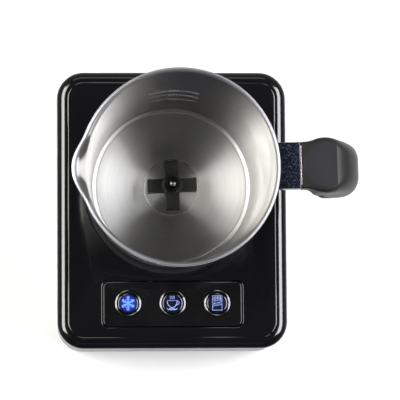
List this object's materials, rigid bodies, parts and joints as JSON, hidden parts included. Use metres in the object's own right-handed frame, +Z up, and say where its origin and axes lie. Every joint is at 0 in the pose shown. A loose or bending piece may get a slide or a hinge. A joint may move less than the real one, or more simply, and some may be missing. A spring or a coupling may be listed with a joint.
{
  "type": "milk frother",
  "caption": "Countertop milk frother: induction base with push buttons, open pouring jug with handle, and a lift-out magnetic whisk.",
  "frame": {"origin": "on the resting plane, under the middle of the whole object's box", "axes": "+Z up; -Y is the front with the buttons; +X towards the jug's handle"},
  "size_m": [0.1811, 0.1772, 0.1879],
  "materials": {
    "silver_housing": "satin silver side wall",
    "gloss_black": "high-gloss black ABS",
    "seat_black": "black heat-proof plate, semi-gloss",
    "panel_black": "black control insert",
    "chrome": "bright plated",
    "button_navy": "dark navy lens with a pale blue symbol",
    "switch_black": "moulded black",
    "circuit_board": "green laminate",
    "aluminium": "plain",
    "copper": "enamelled copper wire",
    "inner_plastic": "heat-proof moulding",
    "ferrite": "sintered, dull",
    "rubber": "matte",
    "zinc_steel": "zinc or nickel plated steel",
    "brushed_steel": "spun and brushed",
    "soft_grip": "soft-touch charcoal",
    "whisk_plastic": "dark grey moulding"
  },
  "bodies": {
    "base": {"bottom_housing": "silver_housing", "top_cover": "gloss_black", "seat_plate": "seat_black", "control_panel": "panel_black", "button_ring_cold": "chrome", "button_ring_hot": "chrome", "button_ring_chocolate": "chrome", "tact_switch_cold": "switch_black", "tact_switch_hot": "switch_black", "tact_switch_chocolate": "switch_black", "control_board": "circuit_board", "power_board": "circuit_board", "heat_sink": "aluminium", "filter_capacitor": "switch_black", "filter_choke": "copper", "induction_coil": "copper", "coil_carrier": "inner_plastic", "ferrite_bar_1": "ferrite", "ferrite_bar_2": "ferrite", "ferrite_bar_3": "ferrite", "ferrite_bar_4": "ferrite", "sensor_holder": "inner_plastic", "motor": "aluminium", "motor_bracket": "inner_plastic", "fan_frame": "switch_black", "cord_gland": "rubber", "rubber_foot_1": "rubber", "rubber_foot_2": "rubber", "rubber_foot_3": "rubber", "rubber_foot_4": "rubber", "housing_screw_1": "zinc_steel", "housing_screw_2": "zinc_steel", "housing_screw_3": "zinc_steel", "housing_screw_4": "zinc_steel"},
    "jug": {"jug_body": "brushed_steel", "jug_sole": "brushed_steel", "whisk_pin": "chrome", "handle_stem": "gloss_black", "handle_trim": "chrome", "handle_grip": "soft_grip", "thumb_pad": "soft_grip", "handle_bracket": "zinc_steel", "handle_screw": "zinc_steel"},
    "whisk_sleeve": {"whisk_bush": "whisk_plastic"},
    "whisk": {"whisk_cross": "whisk_plastic", "whisk_magnet_1": "zinc_steel", "whisk_magnet_2": "zinc_steel"},
    "drive_rotor": {"magnet_carrier": "inner_plastic", "motor_shaft": "zinc_steel", "drive_magnet_1": "zinc_steel", "drive_magnet_2": "zinc_steel", "drive_magnet_3": "zinc_steel", "drive_magnet_4": "zinc_steel"},
    "fan": {"fan_rotor": "inner_plastic"},
    "sensor": {"temperature_sensor": "aluminium"},
    "button_cold": {"button_cap_cold": "button_navy"},
    "button_hot": {"button_cap_hot": "button_navy"},
    "button_chocolate": {"button_cap_chocolate": "button_navy"}
  },
  "joints": [
    {"name": "jug_lift", "type": "slide", "parent": "base", "child": "jug", "axis": [0, 0, 1], "range_m": [0, 0.13]},
    {"name": "whisk_lift", "type": "slide", "parent": "jug", "child": "whisk_sleeve", "axis": [0, 0, 1], "range_m": [0, 0.03]},
    {"name": "whisk_spin", "type": "hinge", "parent": "whisk_sleeve", "child": "whisk", "pos_m": [-0.01808, 0.0135, 0.075], "axis": [0, 0, 1], "continuous": true},
    {"name": "rotor_spin", "type": "hinge", "parent": "base", "child": "drive_rotor", "pos_m": [-0.01808, 0.0135, 0.048], "axis": [0, 0, 1], "continuous": true},
    {"name": "fan_spin", "type": "hinge", "parent": "base", "child": "fan", "pos_m": [-0.05418, 0.047, 0.013], "axis": [0, 0, 1], "continuous": true},
    {"name": "sensor_press", "type": "slide", "parent": "base", "child": "sensor", "axis": [0, 0, -1], "range_m": [0, 0.0012], "stiffness_N_per_m": 150},
    {"name": "button_cold_press", "type": "slide", "parent": "base", "child": "button_cold", "axis": [0, 0, -1], "range_m": [0, 0.0006], "stiffness_N_per_m": 600},
    {"name": "button_hot_press", "type": "slide", "parent": "base", "child": "button_hot", "axis": [0, 0, -1], "range_m": [0, 0.0006], "stiffness_N_per_m": 600},
    {"name": "button_chocolate_press", "type": "slide", "parent": "base", "child": "button_chocolate", "axis": [0, 0, -1], "range_m": [0, 0.0006], "stiffness_N_per_m": 600}
  ],
  "couplings": [
    {"joint": "whisk_spin", "follows": "rotor_spin", "ratio": 1}
  ]
}
